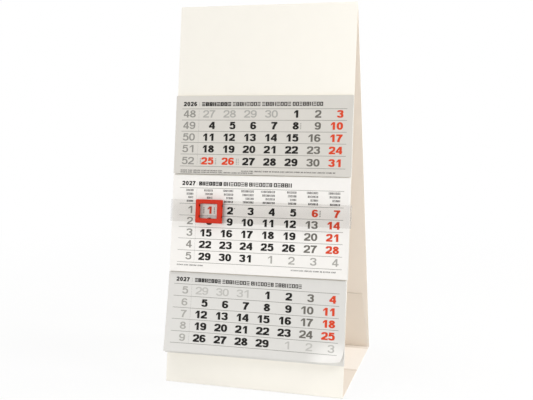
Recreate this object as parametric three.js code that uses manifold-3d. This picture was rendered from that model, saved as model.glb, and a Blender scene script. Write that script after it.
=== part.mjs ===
// A three-month desk calendar: a tent of folded card carries three month pads, one above the other, and a
// clear film band with a red date cursor runs round the front panel and the middle pad.
// Millimetres, +Z up, the pads face -Y, +X is to the right of someone who reads them. The origin is the
// middle of the floor under the whole object.
import * as THREE from 'three';
import { mergeVertices } from 'three/addons/utils/BufferGeometryUtils.js';
import Module from 'manifold-3d';

const wasm = await Module();
wasm.setup();

// Card stand: one creased board, folded into front panel, rear panel and a base of two halves
const CARD_WIDTH = 105;
const CARD_THICKNESS = 0.5;
const STAND_SLOPE = 220;
const BASE_DEPTH = 86;
const RIDGE_END_ANGLE = THREE.MathUtils.degToRad(40);
const RIDGE_STEPS = 8;

// Fold lines lie this far inside the faces that close on them
const FOLD_CLEARANCE = 0.15;

// Glue flap: the rear end of the base, turned up and glued inside the rear panel
const FLAP_HEIGHT = 38.5;
const FLAP_SIDE_INSET = 0.6;
const FLAP_TAPER = 2.4;
const GLUE_THICKNESS = 0.1;
const GLUE_GAP = 0.1;
const FLAP_GLUE_MARGIN = 4;

// Month pads, measured down the front panel from the ridge
const BLANK_HEADER = 52.1;
const HEAD_SPACE = 0.6;
const TOP_PAD_HEIGHT = 45.3;
const MIDDLE_PAD_HEIGHT = 56.1;
const BOTTOM_PAD_HEIGHT = 46.7;
const PAD_WIDTH = CARD_WIDTH;
const SHEETS_PER_PAD = 12;
const PAPER_THICKNESS = 0.1;
const PAPER_GAP = 0.05;
const HEAD_GLUE_HEIGHT = 8;
const HEAD_BEAD_WIDTH = 0.25;
const HEAD_BEAD_SETBACK = 0.25;
const HEAD_GLUE_INSET = 0.5;

// The bottom pad's first sheet bulges, which draws its lower edge up
const BULGE_DRAWS_UP = 1.1;

// Curled lower right corner of the bottom pad's first sheet: the corner it cuts off, and its bend
const CURL_ACROSS = 25;
const CURL_UP = 12.5;
const CURL_RADIUS = 9.5;

// How far the lower edge of a pad stands off at its left and right end, for its first sheet and for the
// sheets under it. The power sets how late down the sheet it lifts, the side power how much it keeps left.
// The pads are stuck on by hand: each lies a little askew, right end up, and a little to one side.
const PADS = [
  {
    name: 'top',
    height: TOP_PAD_HEIGHT,
    tilt: THREE.MathUtils.degToRad(0.25),
    sideways: 0.15,
    firstLift: { left: 0.5, right: 0.3 },
    restLift: { left: 0.25, right: 0.1 },
    liftPower: 2,
    sidePower: 1,
    tint: 0xd4cfca,
  },
  {
    name: 'middle',
    height: MIDDLE_PAD_HEIGHT,
    tilt: THREE.MathUtils.degToRad(0.4),
    sideways: 0.15,
    firstLift: { left: 1.1, right: 0.5 },
    restLift: { left: 0.7, right: 0.25 },
    liftPower: 3,
    sidePower: 1,
    tint: 0xf5f2ee,
  },
  {
    name: 'bottom',
    height: BOTTOM_PAD_HEIGHT,
    tilt: THREE.MathUtils.degToRad(0.35),
    sideways: 0,
    firstLift: { left: 4.9, right: 0.6 },
    restLift: { left: 2.2, right: 0.35 },
    liftPower: 1.3,
    sidePower: 3,
    firstDrawnUp: BULGE_DRAWS_UP,
    tint: 0xdedcd8,
    curl: { across: CURL_ACROSS, up: CURL_UP, radius: CURL_RADIUS },
  },
];
const SHEET_ROWS = 10;
const TWISTED_SHEET_COLUMNS = 4;
const CURLED_SHEET_ROWS = 14;
const CURLED_SHEET_COLUMNS = 16;

// Film band: a closed loop of clear film, free to slide along the front panel
const FILM_HEIGHT = 12.7;
const FILM_THICKNESS = 0.2;
const FILM_FROM_RIDGE = 112.75;
const FILM_SIDE_GAP = 0.6;
const FILM_SIDEWAYS = 0.3;
const FILM_BACK_GAP = 0.3;
const FILM_BEND_RADIUS = 0.8;
const FILM_BEND_STEPS = 4;

// Date cursor: a moulded frame whose top and bottom channels grip the edges of the film
const CURSOR_WIDTH = 16.6;
const CURSOR_PLATE = 1;
const CURSOR_WALL = 0.35;
const CURSOR_SIDE_BAR = 2.8;
const CURSOR_TOP_BAR = 2.5;
const CURSOR_BOTTOM_BAR = 3;
const CURSOR_FROM_LEFT = 15.75;
const CHANNEL_GAP = 0.1;
const CHANNEL_END_GAP = 0.1;
const CHANNEL_LIP = 0.3;
const CHANNEL_LIP_HEIGHT = 1.3;
const LIP_TO_PAPER_GAP = 0.15;
const CURSOR_CORNER = 0.5;

// Colours, roughness and the film's opacity
const CARD_OUTSIDE = 0xf9f5ec;
const CARD_INSIDE = 0xf3e8d8;
const DRIED_GLUE = 0xf4efe4;
const CLEAR_FILM = 0xdfe0de;
const CURSOR_RED = 0xdc2f16;
const CARD_ROUGHNESS = 0.8;
const PAPER_ROUGHNESS = 0.75;
const GLUE_ROUGHNESS = 0.4;
const FILM_ROUGHNESS = 0.2;
const CURSOR_ROUGHNESS = 0.35;
const FILM_OPACITY = 0.35;

// Fold geometry, seen from the side. A fold axis lies `reach` behind the outer face of its panel.
const reach = CARD_THICKNESS + FOLD_CLEARANCE;
const panelSlope = STAND_SLOPE - reach;
const lean = Math.asin(BASE_DEPTH / 2 / Math.hypot(panelSlope, reach)) - Math.atan2(reach, panelSlope);
const foldHeight = CARD_THICKNESS + FOLD_CLEARANCE;
const frontFoldUp = (foldHeight + reach * Math.sin(lean)) / Math.cos(lean);
const foldToRidge = panelSlope - frontFoldUp;
const halfBase = foldToRidge * Math.sin(lean);

// The rear panel lies outside the glue flap, so it leans a little more than the front one
const flapGlueSpace = GLUE_THICKNESS + 2 * GLUE_GAP;
const flapOffset = CARD_THICKNESS + flapGlueSpace;
const rearReach = reach + flapOffset;
const rearFoldToRidge = Math.sqrt(foldToRidge ** 2 - flapOffset ** 2);
const rearLean = lean + Math.atan2(flapOffset, rearFoldToRidge);
const rearFoldUp = (foldHeight + rearReach * Math.sin(rearLean)) / Math.cos(rearLean);
const rearSlope = rearFoldUp + rearFoldToRidge;
const rearFoot = halfBase + rearReach * Math.cos(rearLean) + rearFoldUp * Math.sin(rearLean);

function finish(color, roughness, opacity = 1) {
  return new THREE.MeshStandardMaterial({
    color,
    roughness,
    metalness: 0,
    opacity,
    transparent: opacity < 1,
  });
}

const outsideCard = () => finish(CARD_OUTSIDE, CARD_ROUGHNESS);
const insideCard = () => finish(CARD_INSIDE, CARD_ROUGHNESS);
const driedGlue = () => finish(DRIED_GLUE, GLUE_ROUGHNESS);

function addPiece(parent, name, geometry, material) {
  const piece = new THREE.Mesh(geometry, material);
  piece.name = name;
  parent.add(piece);
  return piece;
}

// Turns a drawing in (inward, up) into a bar that runs across the calendar, centred on x = 0
function acrossBar(shape, width) {
  const bar = new THREE.ExtrudeGeometry(shape, { depth: width, bevelEnabled: false });
  const inward = new THREE.Vector3(0, 1, 0);
  const up = new THREE.Vector3(0, 0, 1);
  const across = new THREE.Vector3(1, 0, 0);
  bar.applyMatrix4(new THREE.Matrix4().makeBasis(inward, up, across));
  bar.translate(-width / 2, 0, 0);
  return bar;
}

function outline(points) {
  return new THREE.Shape(points.map(([inward, up]) => new THREE.Vector2(inward, up)));
}

function rectangle(inwardLow, inwardHigh, upLow, upHigh) {
  return outline([
    [inwardLow, upLow],
    [inwardHigh, upLow],
    [inwardHigh, upHigh],
    [inwardLow, upHigh],
  ]);
}

// Front panel, cut level at the floor, with the rounded ridge of the fold on its upper end
function frontPanelShape() {
  const shape = outline([
    [CARD_THICKNESS, CARD_THICKNESS * Math.tan(lean)],
    [CARD_THICKNESS, panelSlope],
    [reach, panelSlope],
  ]);
  for (let step = 0; step <= RIDGE_STEPS; step += 1) {
    const angle = THREE.MathUtils.lerp(RIDGE_END_ANGLE, Math.PI, step / RIDGE_STEPS);
    shape.lineTo(reach + reach * Math.cos(angle), panelSlope + reach * Math.sin(angle));
  }
  shape.lineTo(0, 0);
  shape.closePath();
  return shape;
}

function rearPanelShape() {
  return outline([
    [0, 0],
    [CARD_THICKNESS, CARD_THICKNESS * Math.tan(rearLean)],
    [CARD_THICKNESS, rearSlope],
    [0, rearSlope],
  ]);
}

// Flap drawn in (across, up), with its upper corners cut back, then given the card's thickness
function flapGeometry() {
  const innerFace = 2 * CARD_THICKNESS + flapGlueSpace;
  const foot = innerFace * Math.tan(rearLean);
  const half = CARD_WIDTH / 2 - FLAP_SIDE_INSET;
  const shape = outline([
    [-half, foot],
    [half, foot],
    [half - FLAP_TAPER, FLAP_HEIGHT],
    [FLAP_TAPER - half, FLAP_HEIGHT],
  ]);
  const flap = new THREE.ExtrudeGeometry(shape, { depth: CARD_THICKNESS, bevelEnabled: false });
  flap.rotateX(Math.PI / 2);
  flap.translate(0, innerFace, 0);
  return flap;
}

// Thin closed sheet between two faces of a grid. `surface(across, down)` gives the point of the back face
// for a place on the flat sheet, and the front face lies one paper thickness along the surface normal.
function paperGeometry(width, height, columns, rows, surface) {
  const tiny = PAPER_THICKNESS / 10;
  const frontSurface = (across, down) => {
    const alongAcross = surface(across + tiny, down).sub(surface(across - tiny, down));
    const alongDown = surface(across, down + tiny).sub(surface(across, down - tiny));
    const outward = alongDown.cross(alongAcross).normalize();
    return surface(across, down).addScaledVector(outward, PAPER_THICKNESS);
  };
  const positions = [];
  for (const place of [surface, frontSurface]) {
    for (let row = 0; row <= rows; row += 1) {
      for (let column = 0; column <= columns; column += 1) {
        positions.push(...place(width * (column / columns - 0.5), (height * row) / rows).toArray());
      }
    }
  }
  const perFace = (rows + 1) * (columns + 1);
  const at = (row, column, face) => face * perFace + row * (columns + 1) + column;
  const index = [];
  const quad = (a, b, c, d) => index.push(a, b, c, a, c, d);
  for (let row = 0; row < rows; row += 1) {
    for (let column = 0; column < columns; column += 1) {
      quad(at(row, column, 0), at(row, column + 1, 0), at(row + 1, column + 1, 0), at(row + 1, column, 0));
      quad(at(row, column, 1), at(row + 1, column, 1), at(row + 1, column + 1, 1), at(row, column + 1, 1));
    }
    quad(at(row, 0, 0), at(row + 1, 0, 0), at(row + 1, 0, 1), at(row, 0, 1));
    quad(at(row + 1, columns, 0), at(row, columns, 0), at(row, columns, 1), at(row + 1, columns, 1));
  }
  for (let column = 0; column < columns; column += 1) {
    quad(at(0, column + 1, 0), at(0, column, 0), at(0, column, 1), at(0, column + 1, 1));
    quad(at(rows, column, 0), at(rows, column + 1, 0), at(rows, column + 1, 1), at(rows, column, 1));
  }
  const geometry = new THREE.BufferGeometry();
  geometry.setAttribute('position', new THREE.Float32BufferAttribute(positions, 3));
  geometry.setIndex(index);
  geometry.computeVertexNormals();
  return geometry;
}

// Sheet spacing and stack heights off the front panel
const paperPitch = PAPER_THICKNESS + PAPER_GAP;
const headGlueBack = GLUE_GAP;
const headGlueFront = headGlueBack + GLUE_THICKNESS;
const padBack = headGlueFront + GLUE_GAP;
const padFront = padBack + SHEETS_PER_PAD * paperPitch - PAPER_GAP;

// Turns a corner of the sheet forward round a cylinder whose axis cuts the corner off slantwise
function curlCorner(place, across, down, pad) {
  const slant = Math.hypot(pad.curl.across, pad.curl.up);
  const towardsCorner = { across: pad.curl.up / slant, down: pad.curl.across / slant };
  const beyond =
    (across - (PAD_WIDTH / 2 - pad.curl.across)) * towardsCorner.across +
    (down - pad.height) * towardsCorner.down;
  if (beyond <= 0) {
    return;
  }
  const turn = beyond / pad.curl.radius;
  const drawnIn = pad.curl.radius * Math.sin(turn) - beyond;
  place.x += drawnIn * towardsCorner.across;
  place.z -= drawnIn * towardsCorner.down;
  place.y -= pad.curl.radius * (1 - Math.cos(turn));
}

function sheetGeometry(pad, order) {
  const isFirst = order === 0;
  const lift = isFirst ? pad.firstLift : pad.restLift;
  const share = isFirst ? 1 : 1 - (order - 1) / (SHEETS_PER_PAD - 1);
  const drawnUp = isFirst && pad.firstDrawnUp ? pad.firstDrawnUp / pad.height : 0;
  const back = padBack + (SHEETS_PER_PAD - 1 - order) * paperPitch;
  const surface = (across, down) => {
    const leftward = 0.5 - across / PAD_WIDTH;
    const sideways = THREE.MathUtils.lerp(lift.right, lift.left, Math.max(leftward, 0) ** pad.sidePower);
    const lifted = share * sideways * Math.max(down / pad.height, 0) ** pad.liftPower;
    const place = new THREE.Vector3(across, -(back + lifted), -down * (1 - drawnUp));
    if (isFirst && pad.curl) {
      curlCorner(place, across, down, pad);
    }
    return place;
  };
  if (isFirst && pad.curl) {
    return paperGeometry(PAD_WIDTH, pad.height, CURLED_SHEET_COLUMNS, CURLED_SHEET_ROWS, surface);
  }
  const columns = pad.sidePower === 1 ? 1 : TWISTED_SHEET_COLUMNS;
  return paperGeometry(PAD_WIDTH, pad.height, columns, SHEET_ROWS, surface);
}

// Glue at a pad's head, drawn from the head down: a strip between the panel and the last sheet, and a bead
// up the sheets' edges.
// It stops short of the first sheet, which turns up over it.
function headGlueShape() {
  const beadLow = GLUE_GAP;
  const beadFront = padFront - paperPitch - HEAD_BEAD_SETBACK;
  return outline([
    [-headGlueBack, -HEAD_GLUE_HEIGHT],
    [-headGlueBack, beadLow + HEAD_BEAD_WIDTH],
    [-beadFront, beadLow + HEAD_BEAD_WIDTH],
    [-beadFront, beadLow],
    [-headGlueFront, beadLow],
    [-headGlueFront, -HEAD_GLUE_HEIGHT],
  ]);
}

// Film and cursor, in front of the middle pad's first sheet at its fullest
const middlePad = PADS[1];
const lipBack = padFront + middlePad.firstLift.left + LIP_TO_PAPER_GAP;
const filmBack = lipBack + CHANNEL_LIP + CHANNEL_GAP;
const filmFront = filmBack + FILM_THICKNESS;
const cursorFront = filmFront + CHANNEL_GAP + CURSOR_PLATE;
const filmInside = CARD_WIDTH / 2 + FILM_SIDE_GAP;
const filmBehindPanel = CARD_THICKNESS + FILM_BACK_GAP;

// Loop in (across, outward) with bends of the given radius, as a path that runs once round
function filmLoop(path, half, low, high, radius) {
  const corners = [
    [half, low, -Math.PI / 2],
    [half, high, 0],
    [-half, high, Math.PI / 2],
    [-half, low, Math.PI],
  ];
  const points = [];
  for (const [across, outward, start] of corners) {
    const centreAcross = across - Math.sign(across) * radius;
    const centreOutward = outward + (outward === low ? radius : -radius);
    for (let step = 0; step <= FILM_BEND_STEPS; step += 1) {
      const angle = start + (step / FILM_BEND_STEPS) * (Math.PI / 2);
      const x = centreAcross + radius * Math.cos(angle);
      points.push(new THREE.Vector2(x, centreOutward + radius * Math.sin(angle)));
    }
  }
  path.setFromPoints(points);
  return path;
}

function filmGeometry() {
  const low = -filmBehindPanel;
  const outerRadius = FILM_BEND_RADIUS + FILM_THICKNESS;
  const shape = filmLoop(
    new THREE.Shape(),
    filmInside + FILM_THICKNESS,
    low - FILM_THICKNESS,
    filmFront,
    outerRadius,
  );
  shape.holes.push(filmLoop(new THREE.Path(), filmInside, low, filmBack, FILM_BEND_RADIUS));
  const band = new THREE.ExtrudeGeometry(shape, { depth: FILM_HEIGHT, bevelEnabled: false });
  // Turned so that outward points away from the front panel and the extrusion runs up it
  band.rotateX(Math.PI);
  band.translate(0, 0, FILM_HEIGHT);
  return band;
}

function toSolid(geometry) {
  const bare = geometry.clone();
  bare.deleteAttribute('normal');
  bare.deleteAttribute('uv');
  const merged = mergeVertices(bare);
  return new wasm.Manifold(
    new wasm.Mesh({
      numProp: 3,
      vertProperties: new Float32Array(merged.attributes.position.array),
      triVerts: new Uint32Array(merged.index.array),
    }),
  );
}

function toGeometry(solid) {
  const mesh = solid.getMesh();
  const geometry = new THREE.BufferGeometry();
  geometry.setAttribute('position', new THREE.BufferAttribute(mesh.vertProperties, 3));
  geometry.setIndex(new THREE.BufferAttribute(mesh.triVerts, 1));
  geometry.computeVertexNormals();
  return geometry;
}

// Cursor: a C section that runs across, gripping both edges of the film, with its window cut through
function cursorGeometry(filmLowUp) {
  const low = filmLowUp - CHANNEL_END_GAP - CURSOR_WALL;
  const high = filmLowUp + FILM_HEIGHT + CHANNEL_END_GAP + CURSOR_WALL;
  const plateBack = filmFront + CHANNEL_GAP;
  const lipFront = filmBack - CHANNEL_GAP;
  const section = outline([
    [-(cursorFront - CURSOR_CORNER), low],
    [-lipBack, low],
    [-lipBack, low + CURSOR_WALL + CHANNEL_LIP_HEIGHT],
    [-lipFront, low + CURSOR_WALL + CHANNEL_LIP_HEIGHT],
    [-lipFront, low + CURSOR_WALL],
    [-plateBack, low + CURSOR_WALL],
    [-plateBack, high - CURSOR_WALL],
    [-lipFront, high - CURSOR_WALL],
    [-lipFront, high - CURSOR_WALL - CHANNEL_LIP_HEIGHT],
    [-lipBack, high - CURSOR_WALL - CHANNEL_LIP_HEIGHT],
    [-lipBack, high],
    [-(cursorFront - CURSOR_CORNER), high],
    [-cursorFront, high - CURSOR_CORNER],
    [-cursorFront, low + CURSOR_CORNER],
  ]);
  const body = toSolid(acrossBar(section, CURSOR_WIDTH));
  const windowWidth = CURSOR_WIDTH - 2 * CURSOR_SIDE_BAR;
  const windowLow = low + CURSOR_BOTTOM_BAR;
  const windowHigh = high - CURSOR_TOP_BAR;
  const windowDepth = 2 * (CURSOR_PLATE + CHANNEL_GAP);
  const cutter = new THREE.BoxGeometry(windowWidth, windowDepth, windowHigh - windowLow);
  cutter.translate(0, -plateBack - CURSOR_PLATE / 2, (windowLow + windowHigh) / 2);
  const framed = body.subtract(toSolid(cutter));
  return toGeometry(framed);
}

// Assembly
const calendar = new THREE.Group();

const frontSlope = new THREE.Group();
frontSlope.position.y = -BASE_DEPTH / 2;
frontSlope.rotation.x = -lean;
calendar.add(frontSlope);

const rearTurn = new THREE.Group();
rearTurn.rotation.z = Math.PI;
calendar.add(rearTurn);
const rearSlopeGroup = new THREE.Group();
rearSlopeGroup.position.y = -rearFoot;
rearSlopeGroup.rotation.x = -rearLean;
rearTurn.add(rearSlopeGroup);

addPiece(frontSlope, 'front_panel', acrossBar(frontPanelShape(), CARD_WIDTH), outsideCard());
addPiece(rearSlopeGroup, 'rear_panel', acrossBar(rearPanelShape(), CARD_WIDTH), outsideCard());
addPiece(rearSlopeGroup, 'glue_flap', flapGeometry(), insideCard());

const flapGlueShape = rectangle(
  CARD_THICKNESS + GLUE_GAP,
  CARD_THICKNESS + GLUE_GAP + GLUE_THICKNESS,
  FLAP_GLUE_MARGIN,
  FLAP_HEIGHT - FLAP_GLUE_MARGIN,
);
const flapGlueWidth = CARD_WIDTH - 2 * (FLAP_SIDE_INSET + FLAP_GLUE_MARGIN);
addPiece(rearSlopeGroup, 'flap_glue', acrossBar(flapGlueShape, flapGlueWidth), driedGlue());

const frontHalf = rectangle(-halfBase, -FOLD_CLEARANCE, 0, CARD_THICKNESS);
const rearHalf = rectangle(FOLD_CLEARANCE, halfBase, 0, CARD_THICKNESS);
addPiece(calendar, 'base_front', acrossBar(frontHalf, CARD_WIDTH), insideCard());
addPiece(calendar, 'base_rear', acrossBar(rearHalf, CARD_WIDTH), insideCard());

let headFromRidge = BLANK_HEADER;
for (const pad of PADS) {
  const padPlace = new THREE.Group();
  padPlace.position.set(pad.sideways, 0, panelSlope - headFromRidge);
  padPlace.rotation.y = -pad.tilt;
  frontSlope.add(padPlace);
  const glue = acrossBar(headGlueShape(), PAD_WIDTH - 2 * HEAD_GLUE_INSET);
  addPiece(padPlace, `${pad.name}_pad_glue`, glue, driedGlue());
  for (let order = 0; order < SHEETS_PER_PAD; order += 1) {
    const number = String(order + 1).padStart(2, '0');
    const paper = finish(pad.tint, PAPER_ROUGHNESS);
    addPiece(padPlace, `${pad.name}_sheet_${number}`, sheetGeometry(pad, order), paper);
  }
  headFromRidge += pad.height + HEAD_SPACE;
}

const filmLowUp = panelSlope - FILM_FROM_RIDGE - FILM_HEIGHT;
const clearFilm = finish(CLEAR_FILM, FILM_ROUGHNESS, FILM_OPACITY);
const band = addPiece(frontSlope, 'film_band', filmGeometry(), clearFilm);
band.position.set(FILM_SIDEWAYS, 0, filmLowUp);

const redPlastic = finish(CURSOR_RED, CURSOR_ROUGHNESS);
const cursor = addPiece(frontSlope, 'date_cursor', cursorGeometry(filmLowUp), redPlastic);
cursor.position.x = CURSOR_FROM_LEFT + CURSOR_WIDTH / 2 - CARD_WIDTH / 2;

// The origin goes to the middle of the floor under everything
calendar.updateMatrixWorld(true);
const bounds = new THREE.Box3().setFromObject(calendar, true);
const middle = bounds.getCenter(new THREE.Vector3());
calendar.position.set(-middle.x, -middle.y, -bounds.min.z);

export default calendar;
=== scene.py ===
import math

import bmesh
import bpy
from mathutils import Matrix, Vector, geometry


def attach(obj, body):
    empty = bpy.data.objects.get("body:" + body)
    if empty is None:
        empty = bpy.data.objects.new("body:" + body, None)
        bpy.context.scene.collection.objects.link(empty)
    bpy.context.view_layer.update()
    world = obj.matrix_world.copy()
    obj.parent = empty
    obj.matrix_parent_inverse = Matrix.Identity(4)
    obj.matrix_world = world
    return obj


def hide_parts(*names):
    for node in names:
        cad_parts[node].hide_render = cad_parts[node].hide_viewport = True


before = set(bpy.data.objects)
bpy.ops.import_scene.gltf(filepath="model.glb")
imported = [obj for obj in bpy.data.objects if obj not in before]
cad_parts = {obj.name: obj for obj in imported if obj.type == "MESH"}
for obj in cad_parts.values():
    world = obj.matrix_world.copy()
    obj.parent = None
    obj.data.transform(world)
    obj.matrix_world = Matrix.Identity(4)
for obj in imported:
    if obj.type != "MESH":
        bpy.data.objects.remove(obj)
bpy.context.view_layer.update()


def add_object(name, data):
    added = bpy.data.objects.new(name, data)
    bpy.context.scene.collection.objects.link(added)
    return added


# ---- Camera
# The photograph was taken from the right and a little above, with a normal lens, and rolled by
# less than a degree. The frame is 533 by 400 pixels.

CAMERA_AZIMUTH = math.radians(16.69927)
CAMERA_ELEVATION = math.radians(9.77087)
CAMERA_ROLL = math.radians(-0.88715)
CAMERA_DISTANCE = 0.5140553
CAMERA_AIM = Vector((-0.00732266, 0.01740812, 0.09917343))
CAMERA_LENS_MM = 56.3212

towards_camera = Vector((
    math.sin(CAMERA_AZIMUTH) * math.cos(CAMERA_ELEVATION),
    -math.cos(CAMERA_AZIMUTH) * math.cos(CAMERA_ELEVATION),
    math.sin(CAMERA_ELEVATION),
))
level_right = Vector((0, 0, 1)).cross(towards_camera).normalized()
level_up = towards_camera.cross(level_right)
rolled_right = math.cos(CAMERA_ROLL) * level_right + math.sin(CAMERA_ROLL) * level_up
rolled_up = math.cos(CAMERA_ROLL) * level_up - math.sin(CAMERA_ROLL) * level_right

lens = bpy.data.cameras.new("camera")
lens.lens = CAMERA_LENS_MM
lens.sensor_width = 36
lens.sensor_fit = "HORIZONTAL"
lens.clip_start = 0.01
camera = add_object("camera", lens)
turned = Matrix((rolled_right, rolled_up, towards_camera)).transposed().to_4x4()
camera.matrix_world = Matrix.Translation(CAMERA_AIM + CAMERA_DISTANCE * towards_camera) @ turned
bpy.context.scene.camera = camera
bpy.context.scene.view_settings.view_transform = "Standard"


# ---- Studio floor and light
# A white sweep with soft light from all round, a large soft lamp in front, one above on the left, and
# one on the right that reaches into the tent. The camera, and what mirrors or lets light through, sees
# the sweep as white with a trace of the shadow.

FLOOR_WHITE = "#F7F7F5"
FLOOR_HALF_WIDTH = 6.0
FLOOR_DROP = 0.00003
FLOOR_GLOW_NEAR = 0.86
FLOOR_SHADE_FROM = 0.1
FLOOR_SHADE_RADIUS = 0.5
AROUND_LIGHT = 0.45

# The soft boxes: place, width, watts and the point each looks at
SOFT_BOXES = {
    "soft box in front": ((-0.48, -1.2, 0.16), 1.0, 7.35, (0, 0, 0.08)),
    "soft box above on the left": ((-0.5, -0.15, 1.2), 0.8, 4.4, (0, 0, 0.08)),
    "soft box on the right": ((1.0, 0.03, 0.62), 0.7, 9.5, (0.03, 0.02, 0.03)),
}


def linear(hex_colour):
    channels = [int(hex_colour[start:start + 2], 16) / 255 for start in (1, 3, 5)]
    return [c / 12.92 if c <= 0.04045 else ((c + 0.055) / 1.055) ** 2.4 for c in channels] + [1]


def add_node(tree, kind, inputs=None, **settings):
    """Adds a shader node. An input is a value, an output, or a node, which gives its first output."""
    added = tree.nodes.new("ShaderNode" + kind)
    for setting, value in settings.items():
        setattr(added, setting, value)
    for socket, value in (inputs or {}).items():
        if isinstance(value, bpy.types.Node):
            value = value.outputs[0]
        if isinstance(value, bpy.types.NodeSocket):
            tree.links.new(value, added.inputs[socket])
        else:
            added.inputs[socket].default_value = value
    return added


def maths(tree, operation, *values):
    return add_node(tree, "Math", dict(enumerate(values)), operation=operation)


def vector_maths(tree, operation, *vectors):
    return add_node(tree, "VectorMath", dict(enumerate(vectors)), operation=operation).outputs["Value"]


def ranged(tree, value, start, end, low, high, interpolation="LINEAR"):
    """Takes a value over from the range start to end to the range low to high."""
    return add_node(tree, "MapRange", {0: value, 1: start, 2: end, 3: low, 4: high},
                    interpolation_type=interpolation)


def mixed(tree, share, first, second):
    return add_node(tree, "MixRGB", {0: share, 1: first, 2: second})


def noise(tree, place, size, detail, **more):
    """Noise in blotches of about that size in millimetres."""
    return add_node(tree, "TexNoise", {"Vector": place, "Scale": 1000 / size, "Detail": detail, **more})


def new_material(name):
    """A material with no shader yet, its node tree, and the place on the object for its textures."""
    material = bpy.data.materials.new(name)
    material.use_nodes = True
    tree = material.node_tree
    tree.nodes.clear()
    return material, tree, add_node(tree, "TexCoord").outputs["Object"]


def finish_material(tree, colour, roughness, index, relief=None, specular=0.5):
    """The surface of a material. Relief is its strength, its depth in metres and its texture."""
    inputs = {"Base Color": colour, "Roughness": roughness, "IOR": index, "Specular IOR Level": specular}
    if relief:
        inputs["Normal"] = add_node(tree, "Bump", dict(zip(("Strength", "Distance", "Height"), relief)))
    add_node(tree, "OutputMaterial", {"Surface": add_node(tree, "BsdfPrincipled", inputs)})


def seen_as_background(tree):
    """1 for a ray from the camera, off a mirror or through clear film, or else 0."""
    path = add_node(tree, "LightPath").outputs
    direct = maths(tree, "MAXIMUM", path["Is Camera Ray"], path["Is Glossy Ray"])
    return maths(tree, "MAXIMUM", direct, path["Is Transmission Ray"])


floor_paint, tree, place = new_material("matt white sweep")
lit = add_node(tree, "BsdfDiffuse", {"Color": linear(FLOOR_WHITE)})
glow = add_node(tree, "Emission", {"Color": (1, 1, 1, 1), "Strength": 1})
fading = ranged(tree, vector_maths(tree, "LENGTH", place), FLOOR_SHADE_FROM, FLOOR_SHADE_RADIUS,
                FLOOR_GLOW_NEAR, 1, "SMOOTHSTEP")
share = maths(tree, "MULTIPLY", seen_as_background(tree), fading)
blend = add_node(tree, "MixShader", {0: share, 1: lit, 2: glow})
add_node(tree, "OutputMaterial", {"Surface": blend})

floor_mesh = bpy.data.meshes.new("floor")
floor_corners = [(-1, -1), (1, -1), (1, 1), (-1, 1)]
floor_mesh.from_pydata(
    [(FLOOR_HALF_WIDTH * x, FLOOR_HALF_WIDTH * y, -FLOOR_DROP) for x, y in floor_corners],
    [], [(0, 1, 2, 3)],
)
floor_mesh.materials.append(floor_paint)
floor = add_object("floor", floor_mesh)

world = bpy.data.worlds.new("white studio")
world.use_nodes = True
world.node_tree.nodes.clear()
tree = world.node_tree
around = add_node(tree, "Background", {"Color": (1, 1, 1, 1), "Strength": AROUND_LIGHT})
white = add_node(tree, "Background", {"Color": (1, 1, 1, 1), "Strength": 1})
blend = add_node(tree, "MixShader", {0: seen_as_background(tree), 1: around, 2: white})
add_node(tree, "OutputWorld", {"Surface": blend})
bpy.context.scene.world = world

for name, (place, width, watts, aim) in SOFT_BOXES.items():
    soft_box = bpy.data.lights.new(name, "AREA")
    soft_box.shape = "SQUARE"
    soft_box.size = width
    soft_box.energy = watts
    lamp = add_object(name, soft_box)
    lamp.location = place
    lamp.rotation_euler = (Vector(aim) - Vector(place)).to_track_quat("-Z", "Y").to_euler()


# ---- Card stand
# One board of cream solid card, 0.5 mm thick, creased four times: ridge, front foot, middle of the base
# and rear foot, where the base turns up into a flap that is glued inside the rear panel.

CARD_OUTSIDE_CREAM = "#F8F4EB"
CARD_INSIDE_CREAM = "#FCF3E8"
CARD_BASE_CREAM = "#FCF5EC"
# A darker copy of the base's cream: painted shade on the base's front half
CARD_BASE_FRONT_SHADED = "#F0E6DA"
CARD_CUT_EDGE = "#FBF7EF"
# Colour of the painted shade along the creases
CARD_CREASE_SHADE = "#B9A493"
CARD_LEFT = -52.8
CARD_RIGHT = 52.2
CARD_THICKNESS = 0.5
CUT_EDGE_ROUNDING = 0.06
FOLD_REACH = 0.65
FOLD_INNER_RADIUS = 0.15
FRONT_FOOT_Y = -41.3548472
PANEL_SLOPE = 219.35
LEAN = math.radians(11.135283)
REAR_LEAN = math.radians(11.345005)
FRONT_FOLD = (-40.5644348, 0.65)
REAR_FOLD = (43.8547402, 0.65)
RIDGE_FOLD = (1.6451528, 215.0949674)
BASE_FOLD_Y = 1.6451528
REAR_FOOT_Y = 45.4628472
FLAP_HEIGHT = 38.5
FLAP_SIDE_INSET = 0.6
FLAP_TAPER = 2.4
FLAP_OUTER_FACE = 0.8
FLAP_INNER_FACE = 1.3
FOLD_STEPS = 10
RIDGE_GAP_DEGREES = 1.5
HINGE_GAP = 0.005


def finish_form(shape, sharp_degrees=32):
    """Turns all faces outward and shades smoothly over all but the sharp edges."""
    bmesh.ops.recalc_face_normals(shape, faces=shape.faces)
    for face in shape.faces:
        face.smooth = True
    for edge in shape.edges:
        if len(edge.link_faces) == 2:
            edge.smooth = edge.calc_face_angle() < math.radians(sharp_degrees)


def closed_piece(name, shape, materials, body, replaced=None):
    """Turns a closed form drawn in millimetres into a piece that rides on a CAD body, in the place of a
    CAD node where one is given."""
    bmesh.ops.scale(shape, vec=(0.001, 0.001, 0.001), verts=shape.verts)
    mesh = bpy.data.meshes.new(name)
    shape.to_mesh(mesh)
    shape.free()
    for material in materials:
        mesh.materials.append(material)
    piece = add_object(name, mesh)
    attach(piece, body)
    if replaced:
        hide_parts(replaced)


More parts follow.
